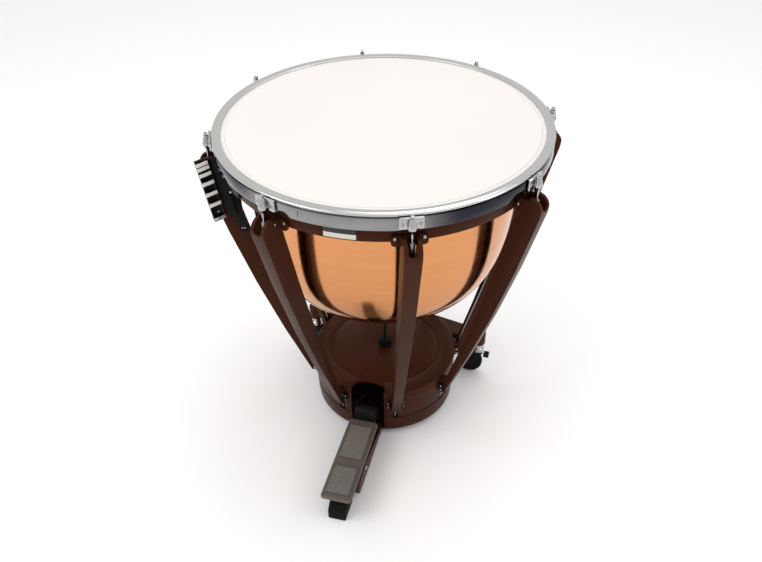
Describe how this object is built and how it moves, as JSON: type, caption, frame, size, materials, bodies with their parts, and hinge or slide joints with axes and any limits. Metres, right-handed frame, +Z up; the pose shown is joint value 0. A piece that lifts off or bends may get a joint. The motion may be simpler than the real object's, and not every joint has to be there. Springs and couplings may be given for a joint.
{
  "type": "timpani",
  "caption": "Pedal kettledrum: a bowl hung from a ring on curved hollow struts over a round base, with a pedal, pull rods, tension screws, a tuning gauge and two casters.",
  "frame": {"origin": "centre of the bounding box's footprint, at floor level", "axes": "+Z up, -Y towards the player, where the pedal is; the drum's axis is parallel to Z at y = 0.0389 m"},
  "size_m": [0.8206, 0.9082, 0.871],
  "materials": {
    "paint": "satin",
    "copper": "polished",
    "chrome": "polished",
    "steel": "satin",
    "head": "matte",
    "black_metal": "satin",
    "black_plastic": "satin",
    "rubber": "matte",
    "alloy": "satin",
    "marker_white": "satin",
    "pointer_red": "gloss"
  },
  "bodies": {
    "frame": {"base_casting": "paint", "base_lid": "paint", "rocker_axle": "steel", "strut_1": "paint", "strut_2": "paint", "strut_3": "paint", "strut_4": "paint", "strut_5": "paint", "strut_6": "paint", "strut_7": "paint", "strut_8": "paint", "bowl_ring": "paint", "bowl": "copper", "head_membrane": "head", "pedal_axle": "steel", "front_leg": "paint", "front_foot": "rubber", "gauge_bracket": "black_metal", "gauge_rail": "steel", "gauge_tube": "black_plastic", "nameplate": "alloy", "spring": "steel"},
    "tuning": {"counterhoop": "chrome", "flesh_hoop": "steel", "tuning_spider": "steel", "lug_1": "chrome", "lug_2": "chrome", "lug_3": "chrome", "lug_4": "chrome", "lug_5": "chrome", "lug_6": "chrome", "lug_7": "chrome", "lug_8": "chrome"},
    "pedal": {"pedal_lever": "black_metal", "footboard": "alloy", "toe_tread": "rubber", "heel_tread": "rubber"},
    "rocker": {"rocker_arm": "black_metal"},
    "knob": {"spring_knob": "black_plastic"},
    "pointer": {"gauge_pointer": "pointer_red"},
    "screw_1": {"tension_screw_1": "chrome"},
    "screw_2": {"tension_screw_2": "chrome"},
    "screw_3": {"tension_screw_3": "chrome"},
    "screw_4": {"tension_screw_4": "chrome"},
    "screw_5": {"tension_screw_5": "chrome"},
    "screw_6": {"tension_screw_6": "chrome"},
    "screw_7": {"tension_screw_7": "chrome"},
    "screw_8": {"tension_screw_8": "chrome"},
    "marker_1": {"note_marker_1": "marker_white"},
    "marker_2": {"note_marker_2": "marker_white"},
    "marker_3": {"note_marker_3": "marker_white"},
    "marker_4": {"note_marker_4": "marker_white"},
    "marker_5": {"note_marker_5": "marker_white"},
    "marker_6": {"note_marker_6": "marker_white"},
    "swivel_left": {"caster_fork_left": "chrome"},
    "wheel_left": {"caster_wheel_left": "rubber"},
    "brake_left": {"caster_brake_left": "chrome"},
    "swivel_right": {"caster_fork_right": "chrome"},
    "wheel_right": {"caster_wheel_right": "rubber"},
    "brake_right": {"caster_brake_right": "chrome"}
  },
  "joints": [
    {"name": "pedal_tilt", "type": "hinge", "parent": "frame", "child": "pedal", "pos_m": [0, -0.31614, 0.055], "axis": [1, 0, 0], "range_deg": [-12, 0]},
    {"name": "rocker_swing", "type": "hinge", "parent": "frame", "child": "rocker", "pos_m": [0, 0.11886, 0.057], "axis": [1, 0, 0], "range_deg": [0, 6.4]},
    {"name": "tuning_draw", "type": "slide", "parent": "frame", "child": "tuning", "axis": [0, 0, 1], "range_m": [-0.0084, 0], "deforming": ["spring"]},
    {"name": "pointer_travel", "type": "slide", "parent": "frame", "child": "pointer", "axis": [0.1045, 0.1045, -0.989], "range_m": [0, 0.138]},
    {"name": "knob_turn", "type": "hinge", "parent": "frame", "child": "knob", "pos_m": [0, 0.04386, 0.17], "axis": [0, 0, 1], "continuous": true},
    {"name": "screw_1_turn", "type": "hinge", "parent": "tuning", "child": "screw_1", "pos_m": [0.15767, -0.33678, 0.866], "axis": [0, 0, 1], "range_deg": [-360, 360]},
    {"name": "screw_2_turn", "type": "hinge", "parent": "tuning", "child": "screw_2", "pos_m": [0.38064, -0.1138, 0.866], "axis": [0, 0, 1], "range_deg": [-360, 360]},
    {"name": "screw_3_turn", "type": "hinge", "parent": "tuning", "child": "screw_3", "pos_m": [0.38064, 0.20153, 0.866], "axis": [0, 0, 1], "range_deg": [-360, 360]},
    {"name": "screw_4_turn", "type": "hinge", "parent": "tuning", "child": "screw_4", "pos_m": [0.15767, 0.4245, 0.866], "axis": [0, 0, 1], "range_deg": [-360, 360]},
    {"name": "screw_5_turn", "type": "hinge", "parent": "tuning", "child": "screw_5", "pos_m": [-0.15767, 0.4245, 0.866], "axis": [0, 0, 1], "range_deg": [-360, 360]},
    {"name": "screw_6_turn", "type": "hinge", "parent": "tuning", "child": "screw_6", "pos_m": [-0.38064, 0.20153, 0.866], "axis": [0, 0, 1], "range_deg": [-360, 360]},
    {"name": "screw_7_turn", "type": "hinge", "parent": "tuning", "child": "screw_7", "pos_m": [-0.38064, -0.1138, 0.866], "axis": [0, 0, 1], "range_deg": [-360, 360]},
    {"name": "screw_8_turn", "type": "hinge", "parent": "tuning", "child": "screw_8", "pos_m": [-0.15767, -0.33678, 0.866], "axis": [0, 0, 1], "range_deg": [-360, 360]},
    {"name": "marker_1_slide", "type": "slide", "parent": "frame", "child": "marker_1", "axis": [0.1045, 0.1045, -0.989], "range_m": [0, 0.0004]},
    {"name": "marker_2_slide", "type": "slide", "parent": "frame", "child": "marker_2", "axis": [0.1045, 0.1045, -0.989], "range_m": [-0.0004, 0.0026]},
    {"name": "marker_3_slide", "type": "slide", "parent": "frame", "child": "marker_3", "axis": [0.1045, 0.1045, -0.989], "range_m": [-0.0026, 0.0069]},
    {"name": "marker_4_slide", "type": "slide", "parent": "frame", "child": "marker_4", "axis": [0.1045, 0.1045, -0.989], "range_m": [-0.0069, 0.008]},
    {"name": "marker_5_slide", "type": "slide", "parent": "frame", "child": "marker_5", "axis": [0.1045, 0.1045, -0.989], "range_m": [-0.008, 0.008]},
    {"name": "marker_6_slide", "type": "slide", "parent": "frame", "child": "marker_6", "axis": [0.1045, 0.1045, -0.989], "range_m": [-0.008, 0.008]},
    {"name": "caster_left_swivel", "type": "hinge", "parent": "frame", "child": "swivel_left", "pos_m": [-0.252, 0.17386, 0.09], "axis": [0, 0, 1], "continuous": true},
    {"name": "wheel_left_spin", "type": "hinge", "parent": "swivel_left", "child": "wheel_left", "pos_m": [-0.23, 0.17386, 0.0375], "axis": [0, 1, 0], "continuous": true},
    {"name": "brake_left_press", "type": "hinge", "parent": "swivel_left", "child": "brake_left", "pos_m": [-0.272, 0.17386, 0.068], "axis": [0, 1, 0], "range_deg": [-14, 0]},
    {"name": "caster_right_swivel", "type": "hinge", "parent": "frame", "child": "swivel_right", "pos_m": [0.252, 0.17386, 0.09], "axis": [0, 0, 1], "continuous": true},
    {"name": "wheel_right_spin", "type": "hinge", "parent": "swivel_right", "child": "wheel_right", "pos_m": [0.23, 0.17386, 0.0375], "axis": [0, 1, 0], "continuous": true},
    {"name": "brake_right_press", "type": "hinge", "parent": "swivel_right", "child": "brake_right", "pos_m": [0.272, 0.17386, 0.068], "axis": [0, 1, 0], "range_deg": [0, 14]}
  ],
  "couplings": [
    {"joint": "rocker_swing", "follows": "pedal_tilt", "ratio": -0.52632},
    {"joint": "tuning_draw", "follows": "pedal_tilt", "m_per_rad": 0.039474},
    {"joint": "pointer_travel", "follows": "pedal_tilt", "m_per_rad": -0.65}
  ]
}
